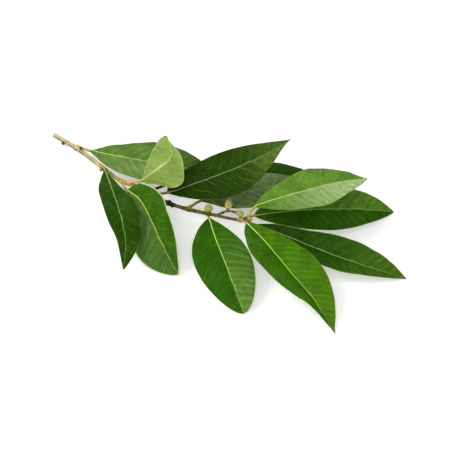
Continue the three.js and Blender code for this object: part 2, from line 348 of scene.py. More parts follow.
@dataclass(frozen=True)
class LeafFinish:
    """The waxy skin of a leaf: blade, veins, margin, stalk and paler underside, with painted sheen and
    painted shade.

    Attributes:
        blade: Main colour of the glossy side.
        shade: Its darker clouds.
        midrib: Colour of the midrib towards the base.
        lateral: Colour of the side veins.
        net: Colour of the fine net of veins.
        margin: Colour of the thin rim.
        stalk: Colour of the stalk.
        gloss: How strongly the wax mirrors.
        veins: How strongly the side veins show on the left and on the right half.
        mesh: How strongly the fine net of veins shows.
        rim: How strongly the rim shows.
        rim_width: Its width, as a multiple of the usual.
        painted_foot_shade: How much painted shade darkens the blade towards its base.
        painted_tip_shade: How much painted shade darkens it towards its tip.
        painted_sheen: How much painted sheen lies on the left and on the right half: pale streaks that stand
            in for the wax's highlights.
        painted_sheen_from: The share of the length at which that painted sheen sets in.
        painted_sheen_full: The share of the length at which it is full.
        painted_sheen_tint: Its colour.
        dry: How brown and dry the tip is.
        burn: How much of the rim is dark instead of pale.
        painted_vein_shade: How strongly painted shade darkens each strip between two side veins towards its
            base end, standing in for the quilted blade's shading.
    """

    blade: str
    shade: str
    midrib: str = "#c9db74"
    lateral: str = "#84a636"
    net: str = "#6a9c14"
    margin: str = "#a9bd62"
    stalk: str = "#b3a24e"
    gloss: float = 0.1
    veins: tuple[float, float] = (0.35, 0.35)
    mesh: float = 0.14
    rim: float = 0.25
    rim_width: float = 1.0
    painted_foot_shade: float = 0.15
    painted_tip_shade: float = 0.0
    painted_sheen: tuple[float, float] = (0.0, 0.0)
    painted_sheen_from: float = -0.4
    painted_sheen_full: float = 1.0
    painted_sheen_tint: str = "#828c6e"
    dry: float = 0.0
    burn: float = 1.0
    painted_vein_shade: float = 0.4

    # Dark green of the painted shade at base and tip, also used for the grain's darker flecks.
    DEEP = "#0c2200"
    BURNT_RIM = "#2e3208"
    DRY_TIP = "#46391a"
    STALK_STREAK = "#6e5424"
    BACK = "#98b358"
    BACK_SHADE = "#84a048"
    BACK_GRAIN = "#5c7a2c"
    BACK_NET = "#82993f"
    BACK_VEIN = "#b4c67a"
    BACK_RIB_FOOT = "#dcc476"
    BACK_RIB = "#e2e49a"
    ROUGH = 0.3
    ROUGH_PATCHES = 0.16
    ROUGH_BELOW = 0.25
    NET_SCALE = 0.75
    NET_THREAD = 0.12
    CLOUD_SCALE = 0.07
    CLOUD_EDGES = (0.36, 0.64)
    GRAIN_SCALE = 0.6
    GRAIN = 0.3
    STREAK_SCALE = 0.9
    BURN_SCALE = 0.06
    RIM_INNER = 0.3
    RIM_OUTER = 0.75
    TIP_START = 0.97
    TIP_FADE = 0.022
    END_STRETCH = (0.5, 0.85)
    HALVES = (-0.5, 0.5)
    VEIN_EDGES = (0.008, 0.038)
    FINE_EDGES = (0.02, 0.1)
    NET_DEPTH = 0.012
    VEIN_DEPTH = 0.035
    FINE_DEPTH = 0.015
    GRAIN_HEIGHT = 0.03

    def material(self, name: str) -> bpy.types.Material:
        """Wires the skin.

        Args:
            name: The material's name.

        Returns:
            The new material.
        """
        wiring = Wiring.material(name)
        where = wiring.place(wiring.mark("length"), wiring.mark("reach"))
        under, along = wiring.mark("under"), wiring.mark("along")
        lateral, fine = self._veins(wiring, where)
        net = wiring.ramp(wiring.net(where, self.NET_SCALE), 0.0, self.NET_THREAD, 1.0, 0.0)
        clouds = wiring.ramp(wiring.noise(where, self.CLOUD_SCALE, 4.0), *self.CLOUD_EDGES)
        grain = wiring.ramp(wiring.noise(where, self.GRAIN_SCALE), *self.CLOUD_EDGES, 0.0, self.GRAIN)
        top = self._blade(wiring, clouds, grain)
        strength = wiring.ramp(wiring.mark("reach"), *self.HALVES, *self.veins)
        for vein, amount, tint in (
            (net, self.mesh, self.net),
            (fine, self.mesh, self.net),
            (lateral, strength, self.lateral),
        ):
            top = wiring.blend(wiring.times(vein, amount), top, tint)
        rib = wiring.times(wiring.mark("rib"), wiring.ramp(along, 0.5, 1.0, 1.0, 0.4))
        top = wiring.blend(rib, top, self.midrib)
        colour = wiring.blend(under, top, self._underside(wiring, clouds, net, lateral, grain))
        colour = self._edge(wiring, where, colour)
        dry = wiring.ramp(along, self.TIP_START, self.TIP_START + self.TIP_FADE, 0.0, self.dry)
        colour = wiring.blend(dry, colour, self.DRY_TIP)
        streaks = wiring.ramp(wiring.noise(where, self.STREAK_SCALE), 0.4, 0.68, 0.0, 0.4)
        stalk = wiring.blend(streaks, self.stalk, self.STALK_STREAK)
        colour = wiring.blend(wiring.mark("stalk"), colour, stalk)
        inputs = {
            "Base Color": colour,
            "Roughness": self._matt(wiring, where, under),
            "Specular IOR Level": self._wax(wiring),
        }
        return wiring.close(inputs, self._relief(wiring, where, net, lateral, fine))

    def _veins(self, wiring: Wiring, where: Socket) -> tuple[Socket, Socket]:
        """The side veins and the finer ones between them, each 1 on the vein."""
        wobble = wiring.times(wiring.noise(where, 0.16, 2.0), 0.36)
        phase = wiring.math("ADD", wiring.mark("lateral"), wobble)
        fade = wiring.ramp(wiring.mark("share"), 0.5, 1.0, 1.0, 0.1)
        main = wiring.ramp(wiring.math("PINGPONG", phase, 0.5), *self.VEIN_EDGES, 1.0, 0.0)
        third = wiring.math("PINGPONG", wiring.times(phase, 3.0), 0.5)
        fine = wiring.ramp(third, *self.FINE_EDGES, 0.6, 0.0)
        return wiring.times(main, fade), wiring.times(fine, fade)

    def _blade(self, wiring: Wiring, clouds: Socket, grain: Socket) -> Socket:
        """The glossy side's green, without its veins, with its painted shade and painted sheen."""
        along = wiring.mark("along")
        top = wiring.blend(clouds, self.shade, self.blade)
        # Painted shade towards the blade's base and its tip.
        foot = wiring.ramp(along, 0.0, 0.55, self.painted_foot_shade, 0.0)
        end = wiring.ramp(along, *self.END_STRETCH, 0.0, self.painted_tip_shade)
        top = wiring.blend(wiring.math("MAXIMUM", foot, end), top, self.DEEP)
        # Painted shade in the strips between side veins.
        top = wiring.blend(self._painted_strip_shade(wiring), top, self.shade)
        top = wiring.blend(grain, top, self.DEEP)
        # Painted sheen: a pale tint laid where the wax would mirror the lamps.
        return wiring.blend(self._painted_sheen(wiring), top, self.painted_sheen_tint)

    def _painted_strip_shade(self, wiring: Wiring) -> Socket:
        """Painted shade in each strip between two side veins, strongest just past a vein, standing in for the
        quilted blade's shading.
        """
        strip = wiring.ramp(wiring.math("FRACT", wiring.mark("lateral")), 0.0, 0.7, self.painted_vein_shade, 0.0)
        return wiring.times(strip, wiring.ramp(wiring.mark("share"), 0.03, 0.2))

    def _painted_sheen(self, wiring: Wiring) -> Socket:
        """How much painted sheen lies on the blade, in pale streaks that run along the side veins and stand
        in for the wax's highlights.
        """
        along, lateral = wiring.mark("along"), wiring.mark("lateral")
        half = wiring.ramp(wiring.mark("reach"), *self.HALVES, *self.painted_sheen)
        spread = wiring.ramp(along, self.painted_sheen_from, self.painted_sheen_full)
        # The painted sheen fades where the painted shade lies at the tip.
        end = wiring.ramp(along, *self.END_STRETCH, 1.0, 1.0 - self.painted_tip_shade)
        grain = wiring.place(wiring.times(lateral, 2.6), wiring.times(wiring.mark("share"), 3.0))
        streaks = wiring.ramp(wiring.noise(grain, 1.0, 4.0), 0.34, 0.66, 0.6, 1.3)
        bands = wiring.ramp(wiring.math("FRACT", lateral), 0.0, 0.85, 0.82, 1.12)
        return wiring.times(half, spread, end, streaks, bands)

    def _edge(self, wiring: Wiring, where: Socket, colour: Socket) -> Socket:
        """Adds the thin rim, which is pale or burnt dark in turns."""
        inner, outer = self.RIM_INNER * self.rim_width, self.RIM_OUTER * self.rim_width
        rim = wiring.ramp(wiring.mark("margin"), inner, outer, self.rim, 0.0)
        burnt = wiring.ramp(wiring.noise(where, self.BURN_SCALE, 2.0), 0.36, 0.56, 0.0, self.burn)
        return wiring.blend(rim, colour, wiring.blend(burnt, self.margin, self.BURNT_RIM))

    def _underside(
        self, wiring: Wiring, clouds: Socket, net: Socket, lateral: Socket, grain: Socket
    ) -> Socket:
        """The pale lower side, with its strong midrib and its net of veins."""
        along = wiring.mark("along")
        back = wiring.blend(clouds, self.BACK_SHADE, self.BACK)
        back = wiring.blend(grain, back, self.BACK_GRAIN)
        back = wiring.blend(wiring.times(net, 0.3), back, self.BACK_NET)
        back = wiring.blend(wiring.times(lateral, 0.35), back, self.BACK_VEIN)
        rib = wiring.blend(wiring.ramp(along, 0.0, 0.3), self.BACK_RIB_FOOT, self.BACK_RIB)
        fading = wiring.times(wiring.mark("rib_back"), wiring.ramp(along, 0.45, 0.8, 1.0, 0.25))
        return wiring.blend(fading, back, rib)

    def _relief(self, wiring: Wiring, where: Socket, net: Socket, lateral: Socket, fine: Socket) -> Socket:
        """Height of the fine relief, in millimetres: sunken veins and a grain."""
        height = wiring.times(wiring.noise(where, 1.6, 2.0), self.GRAIN_HEIGHT)
        for vein, depth in ((net, self.NET_DEPTH), (lateral, self.VEIN_DEPTH), (fine, self.FINE_DEPTH)):
            height = wiring.math("SUBTRACT", height, wiring.times(vein, depth))
        return height

    def _matt(self, wiring: Wiring, where: Socket, under: Socket) -> Socket:
        """Roughness, in patches and higher underneath."""
        patches = wiring.times(wiring.noise(where, 0.12), self.ROUGH_PATCHES)
        matt = wiring.math("ADD", self.ROUGH, patches)
        return wiring.math("ADD", matt, wiring.times(under, self.ROUGH_BELOW))

    def _wax(self, wiring: Wiring) -> Socket:
        """How much the wax mirrors, which fades where it is seen at a flat angle."""
        facing = wiring.add("ShaderNodeLayerWeight", {"Blend": 0.5}).outputs["Facing"]
        return wiring.ramp(facing, 0.3, 0.52, self.gloss, self.gloss * 0.12)


@dataclass(frozen=True)
class Band:
    """A tinted stretch of the stem.

    Attributes:
        low: Where it starts, along the stem.
        high: Where it ends.
        fade: How long each end fades.
        strength: How strongly it shows from above.
        tint: Its colour.
    """

    low: float
    high: float
    fade: float
    strength: float
    tint: str

    def over(self, wiring: Wiring, colour: Socket, along: Socket, lift: Socket) -> Socket:
        """Lays the band over the bark's colour."""
        start = wiring.ramp(along, self.low, self.low + self.fade)
        end = wiring.ramp(along, self.high, self.high + self.fade, 1.0, 0.0)
        lit = wiring.ramp(lift, -0.9, -0.1, 0.3, self.strength)
        return wiring.blend(wiring.times(start, end, lit), colour, self.tint)


@dataclass(frozen=True)
class BarkFinish:
    """Young bark that goes from tan at the cut end to brown and green at the tip."""

    name: str = "bay_bark"

    TAN = ("#745f2c", "#c2ae6a")
    BROWN = ("#3f2e12", "#7a6630")
    GREEN = ("#3f3610", "#746a30")
    # Painted highlight for the stem's top, and painted shade for its far side and its lower side.
    TOP_HIGHLIGHT = "#e6dcaa"
    FAR_SIDE_SHADE = "#5e4c22"
    UNDER_SHADE = "#37270f"
    KNOB = "#170d03"
    SCAR = "#5a4020"
    SPECK = "#3b2a14"
    HOOP = "#6a5420"
    CUT = "#c9b98c"
    TO_BROWN = (66.0, 108.0)
    TO_GREEN = (128.0, 145.0)
    TOP_HIGHLIGHT_TO = (60.0, 75.0)
    HOOPS_AT = 41.0
    HOOPS_REACH = (6.0, 10.0)
    HOOP_GAP = 0.55
    CRACK_SCALE = 1.1
    CRACK_EDGES = (0.02, 0.1)
    BANDS = (
        Band(49.0, 55.0, 2.0, 0.65, "#d8b45c"),
        Band(58.0, 72.0, 3.0, 0.7, "#7e7832"),
        Band(75.0, 88.0, 6.0, 0.7, "#d0b05c"),
        Band(114.0, 127.0, 3.0, 0.92, "#22140a"),
        Band(150.5, 154.5, 1.5, 0.8, "#5e401a"),
        Band(174.0, 179.0, 2.0, 0.9, "#dcae80"),
        Band(181.0, 200.0, 2.0, 0.8, "#8a6a30"),
    )

    def material(self) -> bpy.types.Material:
        """Wires the bark and the pale cut face."""
        wiring = Wiring.material(self.name)
        along, turn, lift = wiring.mark("along"), wiring.mark("turn"), wiring.mark("lift")
        grain = wiring.noise(wiring.place(wiring.times(along, 0.12), turn, lift), 1.4, 4.0)
        patch = wiring.noise(wiring.place(wiring.times(along, 0.3), turn, lift), 0.35)
        colour = self._ground(wiring, along, grain)
        colour = self._painted_light(wiring, colour, along, turn, lift, patch)
        for band in self.BANDS:
            colour = band.over(wiring, colour, along, lift)
        colour = wiring.blend(wiring.mark("knob"), colour, self.KNOB)
        colour = wiring.blend(wiring.mark("scar"), colour, self.SCAR)
        cracks = wiring.net(wiring.place(wiring.times(along, 0.16), turn, lift), self.CRACK_SCALE)
        specks = wiring.ramp(cracks, *self.CRACK_EDGES, 1.0, 0.0)
        specks = wiring.times(specks, wiring.ramp(patch, 0.5, 0.7, 0.0, 0.5))
        colour = wiring.blend(specks, colour, self.SPECK)
        colour = wiring.blend(self._hoops(wiring, along), colour, self.HOOP)
        colour = wiring.blend(wiring.mark("cut"), colour, self.CUT)
        height = wiring.math("ADD", wiring.times(grain, 0.25), wiring.times(specks, -0.05))
        matt = wiring.math("ADD", 0.5, wiring.times(grain, 0.25))
        return wiring.close({"Base Color": colour, "Roughness": matt, "Specular IOR Level": 0.2}, height)

    def _ground(self, wiring: Wiring, along: Socket, grain: Socket) -> Socket:
        """The bark's streaky colour: tan, then brown, then green."""
        streaks = wiring.ramp(grain, 0.38, 0.62)
        tan, brown = wiring.blend(streaks, *self.TAN), wiring.blend(streaks, *self.BROWN)
        colour = wiring.blend(wiring.ramp(along, *self.TO_BROWN), tan, brown)
        green = wiring.blend(wiring.ramp(grain, 0.36, 0.64), *self.GREEN)
        return wiring.blend(wiring.ramp(along, *self.TO_GREEN), colour, green)

    def _painted_light(
        self, wiring: Wiring, colour: Socket, along: Socket, turn: Socket, lift: Socket, patch: Socket
    ) -> Socket:
        """Paints a highlight on the top of the stem, and painted shade on its far side and its lower side."""
        # Painted highlight along the top, fading out towards the tip.
        highlight_fade = wiring.ramp(along, *self.TOP_HIGHLIGHT_TO, 1.0, 0.0)
        above = wiring.times(wiring.ramp(lift, 0.6, 1.4, 0.0, 0.45), highlight_fade)
        colour = wiring.blend(above, colour, self.TOP_HIGHLIGHT)
        # Painted shade on the far side, in patches.
        far = wiring.times(wiring.ramp(turn, 0.8, 1.35, 0.0, 0.6), wiring.ramp(patch, 0.3, 0.5))
        colour = wiring.blend(far, colour, self.FAR_SIDE_SHADE)
        # Painted shade on the lower side, in patches.
        below = wiring.times(wiring.ramp(lift, 0.75, -0.25), wiring.ramp(patch, 0.3, 0.52), 0.85)
        return wiring.blend(below, colour, self.UNDER_SHADE)

    def _hoops(self, wiring: Wiring, along: Socket) -> Socket:
        """Fine dark rings on the stretch between the first two leaves."""
        away = wiring.math("ABSOLUTE", wiring.math("SUBTRACT", along, self.HOOPS_AT))
        hoops = wiring.ramp(wiring.math("PINGPONG", along, self.HOOP_GAP), 0.0, 0.2, 0.6, 0.0)
        return wiring.times(hoops, wiring.ramp(away, *self.HOOPS_REACH, 1.0, 0.0))


@dataclass(frozen=True)
class BudFinish:
    """The skin of a bud, with a dry edge on each of its scales.

    Attributes:
        name: The material's name.
        low: Colour at the foot.
        high: Colour at the tip.
        edge: Colour of the scales' dry edges.
        rough: How matt it is.
    """

    name: str
    low: str
    high: str
    edge: str
    rough: float = 0.5

    FOOT = "#382810"

    def material(self) -> bpy.types.Material:
        """Wires the skin."""
        wiring = Wiring.material(self.name)
        share = wiring.mark("share")
        where = wiring.place(wiring.mark("along"), wiring.mark("turn"), wiring.mark("lift"))
        speckle = wiring.noise(where, 1.5, 4.0)
        colour = wiring.blend(wiring.ramp(share, 0.2, 0.95), self.low, self.high)
        colour = wiring.blend(wiring.ramp(speckle, 0.42, 0.7, 0.0, 0.35), colour, self.edge)
        colour = wiring.blend(wiring.times(wiring.mark("edge"), 0.6), colour, self.edge)
        colour = wiring.blend(wiring.ramp(share, 0.02, 0.16, 0.8, 0.0), colour, self.FOOT)
        matt = wiring.math("ADD", self.rough - 0.08, wiring.times(speckle, 0.16))
        inputs = {"Base Color": colour, "Roughness": matt, "Coat Weight": 0.1}
        return wiring.close(inputs, wiring.times(speckle, 0.12))


# ---- stem ----
@dataclass
class Stem:
    """The woody stem, from its cut end to its tip.

    Attributes:
        leaf_nodes: Distances from the cut end at which leaves leave it.
        route: Points that its middle runs through.
        cut_radius: Its radius at the cut end.
        tip_radius: Its radius at the tip.
        node_swell: How much thicker it is where a leaf leaves it.
        node_length: How far that swelling reaches.
        ring_at: Where last year's growth ended.
        swellings: The place, height and length of each thicker stretch.
        joint_gap: The gap between the bark and a part that starts on it.
        steps: How many rings it has.
        sides: How many points each ring has.
    """

    leaf_nodes: list[float]
    route: list[Point] = field(
        default_factory=lambda: [
            (-133, 104, 1.8), (-114, 87, 5), (-93, 64, 9), (-80, 49, 12), (-66, 40, 14),
            (-47, 25, 16), (-31, 17, 17), (-14, 11, 18), (5, 6, 18), (15, 5, 19.5),
        ]
    )  # fmt: skip
    cut_radius: float = 1.6
    tip_radius: float = 1.0
    node_swell: float = 0.3
    node_length: float = 2.2
    ring_at: float = 123.0
    swellings: tuple[Point, ...] = (
        (82.0, 0.4, 5.5), (123.0, 0.7, 4.0), (140.0, 0.3, 9.0), (153.0, 0.25, 2.0), (177.0, 0.7, 2.4),
    )  # fmt: skip
    joint_gap: float = 0.3
    steps: int = 900
    sides: int = 40

    RIDGES = 0.05
    LUMPS = 0.06
    SCAR_DEPTH = 0.1
    KNOB_HEIGHT = 0.75
    SCAR_WIDTH = 0.28
    SCAR_BACK = 1.6
    YEAR_SCARS = (-3.4, -0.6, 2.4)
    TIP_LENGTH = 1.2
    TIP_ROUND = 0.6
    CUT_BULGE = 0.06
    CUT_SHARES = (0.05, 0.3, 0.55, 0.8, 0.95)
    KNOBS = (
        (117.0, 0.4, 0.9), (118.2, 2.9, 1.0), (119.5, 1.9, 1.3), (121.0, 4.9, 1.2), (121.8, 3.2, 0.9),
        (122.6, 0.5, 0.8), (124.0, 1.2, 1.1), (125.2, 2.4, 1.0), (126.4, 3.8, 0.9), (127.0, 4.9, 1.4),
    )  # fmt: skip

    def __post_init__(self) -> None:
        """Lays the curve."""
        self.curve = Route(self.route)

    def radius(self, along: Array) -> Array:
        """Plain radius at distances from the cut end: a slow taper with a swelling at each leaf."""
        taper = lerp(self.cut_radius, self.tip_radius, along / self.curve.length)
        swell = np.max([hump(along, node, self.node_length) for node in self.leaf_nodes], axis=0)
        thicker = sum(height * hump(along, at, length) for at, height, length in self.swellings)
        return taper + self.node_swell * swell + thicker

    def centre(self, along: float) -> Array:
        """The point of its middle at a distance from the cut end."""
        return self.curve.at(along / self.curve.length)[0]

    def root(self, along: float, target: Array, own_radius: float) -> Array:
        """Where a part that grows out of the stem starts.

        Args:
            along: Its distance from the cut end.
            target: The point that it heads for.
            own_radius: Its own radius.

        Returns:
            A point just clear of the bark.
        """
        centre, forward = self.centre(along), self.curve.heading(along / self.curve.length)[0]
        way = unit(np.asarray(target, float) - centre)
        lean = float(way @ forward)
        out = unit(way - lean * forward)
        reach = float(self.radius(np.array([along]))[0]) + own_radius * abs(lean) + self.joint_gap
        return centre + out * reach

    def place(self) -> Array:
        """The layout's place in the frame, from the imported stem's box, in millimetres."""
        rings = self._rings(np.linspace(0, 1, 400), 0.0).rings.reshape(-1, 3)
        low, high = (np.array(corner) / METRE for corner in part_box("main_stem"))
        return (low + high - rings.min(axis=0) - rings.max(axis=0)) / 2

    def build(self, place: Array) -> bpy.types.Object:
        """Makes the stem with its bark, scars and cut face."""
        skin = self._close_cut(self._rings(np.linspace(0, 1, self.steps), 1.0))
        piece = skin.build("stem_bark", BarkFinish().material(), place)
        seat(piece, "main_stem")
        return piece

    def _rings(self, share: Array, detail: float) -> Skin:
        """The stem's rings, plain at detail 0 and with bark relief at 1."""
        along = (share * self.curve.length)[:, None]
        angle = turns(self.sides)
        plain = self.radius(along)
        scar, knob = self._scars(along), self._knobs(along, angle)
        turn = angle / (2 * math.pi)
        ridges, lumps = Waves(11).at(along / 14, turn * 6, 1.0), Waves(12).at(along, turn * 9, 5.0)
        relief = self.RIDGES * ridges + self.LUMPS * lumps - self.SCAR_DEPTH * scar + self.KNOB_HEIGHT * knob
        past = (along - self.curve.length + self.TIP_LENGTH) / self.TIP_LENGTH
        radius = (plain + detail * relief) * np.sqrt(1 - smooth(past) * self.TIP_ROUND)
        marks = {
            "along": along,
            "turn": np.cos(angle) * plain,
            "lift": np.sin(angle) * plain,
            "scar": scar,
            "knob": smooth(knob * 1.6),
            "cut": np.zeros_like(along),
        }
        points = hoops(self.curve.at(share), self.curve.heading(share), radius, angle)
        return Skin(points, {name: np.broadcast_to(v, radius.shape) for name, v in marks.items()})

    def _scars(self, along: Array) -> Array:
        """Rings round the stem: one below each leaf, and a band of them where a year's growth ended."""
        places = [node - self.SCAR_BACK for node in self.leaf_nodes]
        places += [self.ring_at + step for step in self.YEAR_SCARS]
        return np.max([hump(along, place, self.SCAR_WIDTH) for place in places], axis=0)

    def _knobs(self, along: Array, angle: Array) -> Array:
        """Small dark knobs on the band where a year's growth ended."""
        total = np.zeros(np.broadcast_shapes(along.shape, angle.shape))
        for place, side, size in self.KNOBS:
            turn = 2 * np.sin((angle - side) / 2)
            total = np.maximum(total, hump(along, place, size) * hump(turn, 0.0, 0.5))
        return total

    def _close_cut(self, skin: Skin) -> Skin:
        """Adds the cut face: a rounded rim and rings down to its middle."""
        edge = skin.rings[0]
        centre = edge.mean(axis=0)
        back = unit(self.curve.points[0] - self.curve.points[1])
        face = [centre + (edge - centre) * share + back * self.CUT_BULGE for share in self.CUT_SHARES]
        marks = {}
        for name, values in skin.marks.items():
            fill = 1.0 if name == "cut" else values[0]
            marks[name] = np.concatenate([np.broadcast_to(fill, (len(face), self.sides)), values])
        return Skin(np.concatenate([np.stack(face), skin.rings]), marks)


# ---- leaves ----
@dataclass(frozen=True)
class Half:
    """The outline of one half of a blade.

    Attributes:
        reach: Its widest reach from the midrib.
        at: The share of the blade's length where it is widest.
        base: How it narrows towards the base; below 1 is rounder and above 1 more drawn out.
        tip: How it narrows towards the tip, in the same way.
    """

    reach: float
    at: float
    base: float
    tip: float

    def width(self, t: Array) -> Array:
        """Its reach at shares of the blade's length."""
        arch = np.maximum(np.sin(math.pi * t ** (math.log(0.5) / math.log(self.at))), 0)
        return self.reach * arch ** lerp(self.base, self.tip, t)


class Side(Enum):
    """The halves of a blade, seen from the stalk with the glossy side up."""

    LEFT = -1
    RIGHT = 1


@dataclass
class Leaf:
    """A whole leaf: its stalk, midrib and blade.

    Attributes:
        number: Its number on the sprig, from the cut end.
        along: How far from the cut end its stalk leaves the stem.
        midrib: Points that its midrib runs through, from the blade's base to its tip.
        faces: The way its glossy side faces, in equal steps from base to tip.
        left: Outline of the left half.
        right: Outline of the right half.
        finish: Its skin.
        fold: Angle in degrees at which both halves rise from the midrib.
        curl: How far its margins bend down, as a share of the half's reach.
        wave: Height of the ripple along its margins.
        vein_gap: Distance between side veins along the midrib.
        quilt: How far the blade swells up between side veins.
        sweep: How far the side veins lean towards the tip.
        girth: How thick the stalk is, as a multiple of the usual.
        rib_share: How wide the midrib is, as a multiple of the usual.
    """

    number: int
    along: float
    midrib: list[Point]
    faces: list[Point]
    left: Half
    right: Half
    finish: LeafFinish
    fold: float = 8.0
    curl: float = 0.08
    wave: float = 0.6
    vein_gap: float = 7.5
    quilt: float = 0.2
    sweep: float = 0.62
    girth: float = 1.0
    rib_share: float = 1.0

    SHEET = 0.17
    SHEET_AT_STALK = 0.4
    BEAD = 0.05
    BEAD_AT = 0.45
    BEAD_WIDTH = 0.3
    STALK_RADIUS = 0.8
    STALK_WAIST = 0.86
    STALK_FOOT = 0.55
    STALK_NECK = 0.14
    STALK_HEEL = 1.8
    STALK_SUNK = 0.9
    STALK_START = 0.4
    STALK_FADE = 3.0
    RIB_ROOT = 0.56
    RIB_TIP = 0.12
    RIB_TAPER = 0.55
    RIB_WOBBLE = 0.08
    WOBBLE_LENGTH = 14.0
    RIDGE = 0.35
    RIDGE_WIDTH = 0.62
    KEEL = 1.1
    KEEL_LOSS = 0.7
    KEEL_WIDTH = 0.75
    RIB_PAINT = (0.66, 0.06)
    BACK_PAINT = (0.95, 0.1)
    QUILT_FROM = 0.8
    QUILT_RISE = 3.0
    QUILT_EDGE = 2.0
    BILLOW = 0.3
    BILLOW_LENGTH = 22.0
    BILLOW_FROM = 6.0
    PUCKER = 0.4
    PUCKER_LENGTH = 9.0
    BLADE_START = 0.12
    CHORD_SHARE = 0.5
    MARGIN_WAVES = 2.5
    RIPPLE_WIDTH = 8.0
    VEIN_BOW = 0.016
    VEIN_DRIFT = 0.35
    DRIFT_LENGTH = 40.0
    VEIN_OFFSET = 0.45
    STALK_STEPS = 16
    BLADE_STEPS = 124
    RIB_SAMPLES = (0.0, 0.22, 0.44, 0.66, 0.88, 1.1, 1.35)
    SHEET_SAMPLES = 22
    MARGIN_FAR = 5.0

    @property
    def node(self) -> str:
        """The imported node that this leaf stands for."""
        return f"leaf_{self.number:02d}"

    def build(self, stem: Stem, place: Array) -> bpy.types.Object:
        """Makes the leaf on its stem."""
        piece = self._skin(stem).build(f"bay_{self.node}", self.finish.material(f"{self.node}_skin"), place)
        seat(piece, self.node)
        return piece

    def _skin(self, stem: Stem) -> Skin:
        """The leaf's rings, each from left to right over the glossy side and back underneath."""
        midrib = np.array(self.midrib, float)
        root = stem.root(self.along, midrib[0], -self.STALK_SUNK)
        route = Route([stem.centre(self.along - self.STALK_HEEL), root, *midrib])
        stalk = (route.knots[1] + float(np.linalg.norm(root - midrib[0]))) / route.length
        t, share, flat = self._stations(stalk, route.length)
        chord = unit(midrib[-1] - midrib[0])
        forward = unit(lerp(route.heading(share), chord, (self.CHORD_SHARE * flat)[:, None]))
        face = self._facing(t)
        normal = unit(face - np.sum(face * forward, axis=1, keepdims=True) * forward)
        side = np.cross(forward, normal)
        centre = route.at(share)
        walked = (share - stalk) * route.length
        rise = np.radians(self.fold) * flat[:, None]
        halves = {way: self._half(way, t, flat, walked, share) for way in Side}
        order = [(Side.LEFT, False, -1), (Side.RIGHT, False, 1), (Side.RIGHT, True, -1), (Side.LEFT, True, 1)]
        points, marks = [], []
        for way, under, step in order:
            half = halves[way]
            pick = self._pick(half["y"].shape[1], under, step)
            reach = half["y"][:, pick] * way.value
            lift = half["under" if under else "top"][:, pick] + half["y"][:, pick] * np.sin(rise)
            sideways = side[:, None] * (reach * np.cos(rise))[..., None]
            points.append(centre[:, None] + sideways + normal[:, None] * lift[..., None])
            marks.append(self._marks(half, pick, under, reach, t, walked))
        joined = {name: np.concatenate([m[name] for m in marks], axis=1) for name in marks[0]}
        return Skin(np.concatenate(points, axis=1), joined)

    @staticmethod
    def _pick(count: int, under: bool, step: int) -> Array:
        """Which of a half's samples a quarter of the ring takes, so that none is taken twice."""
        order = np.arange(count)
        if not under:
            return order[::-1] if step < 0 else order[1:]
        return order[:-1][::-1] if step < 0 else order[1:-1]

    def _stations(self, stalk: float, length: float) -> tuple[Array, Array, Array]:
        """Where the rings are.

        Args:
            stalk: The stalk's share of the route.
            length: The route's length.

        Returns:
            For each ring the share of the blade, the share of the route, and how flat it is.
        """
        stem_side = np.linspace(self.STALK_START / length, stalk, self.STALK_STEPS, endpoint=False)
        t = (1 - np.cos(math.pi * np.arange(self.BLADE_STEPS) / self.BLADE_STEPS)) / 2
        blade, flat = lerp(stalk, 1.0, t), smooth(t / self.BLADE_START)
        still = np.zeros(self.STALK_STEPS)
        return np.r_[still, t], np.r_[stem_side, blade], np.r_[still, flat]

    def _facing(self, t: Array) -> Array:
        """The way the glossy side faces at shares of the blade."""
        places = np.linspace(0, 1, len(self.faces))
        return np.stack([np.interp(t, places, axis) for axis in np.array(self.faces, float).T], axis=1)

    def _half(self, way: Side, t: Array, flat: Array, walked: Array, share: Array) -> dict[str, Array]:
        """Samples across one half of every ring.

        Args:
            way: Which half.
            t: Each ring's share of the blade.
            flat: How flat each ring is.
            walked: Each ring's distance from the blade's base, along the midrib.
            share: Each ring's share of the whole route.

        Returns:
            Distances from the midrib, heights of both surfaces and values for the finish.
        """
        outline = self.left if way is Side.LEFT else self.right
        stalk = self._stalk_radius(share)
        width = np.hypot(stalk * (1 - t), outline.width(t))[:, None]
        rib = self.rib_share * lerp(self.RIB_ROOT, self.RIB_TIP, t**self.RIB_TAPER)[:, None]
        t, flat, walked, stalk = (column[:, None] for column in (t, flat, walked, stalk))
        y = self._samples(width, rib)
        edge = np.maximum(width - y, 0)
        phase = self._phase(way, walked, y)
        body = self._swells(way, t, flat, walked, width, y, phase)
        stalk_round = (1 - flat) * stalk * np.sqrt(np.maximum(1 - (y / stalk) ** 2, 0))
        round_edge = np.sqrt(1 - (1 - np.minimum(edge / self.SHEET, 1)) ** 2)
        crust = np.maximum(stalk_round, self.SHEET * lerp(self.SHEET_AT_STALK, 1.0, flat) * round_edge)
        bead = self.BEAD * flat * hump(edge, self.BEAD_AT, self.BEAD_WIDTH)
        wobble = Waves(self.number * 3).at(walked, np.zeros_like(y), self.WOBBLE_LENGTH)
        off = np.abs(way.value * y - self.RIB_WOBBLE * flat * wobble)
        ridge = flat * rib * self.RIDGE * hump(off, 0.0, self.RIDGE_WIDTH * rib)
        depth = self.KEEL - self.KEEL_LOSS * smooth((t - 0.4) / 0.4)
        keel = flat * rib * depth * hump(off, 0.0, self.KEEL_WIDTH * rib)
        return {
            "y": y,
            "top": body + crust + ridge + bead,
            "under": body - crust - keel - bead,
            "lateral": phase,
            "margin": np.minimum(edge, self.MARGIN_FAR) + self.MARGIN_FAR * (1 - flat),
            "share": y / width,
            "rib": self._stripe(off, rib, *self.RIB_PAINT),
            "rib_back": self._stripe(off, rib, *self.BACK_PAINT),
            "stalk": np.broadcast_to(1 - smooth(walked / self.STALK_FADE + 0.3), y.shape),
        }

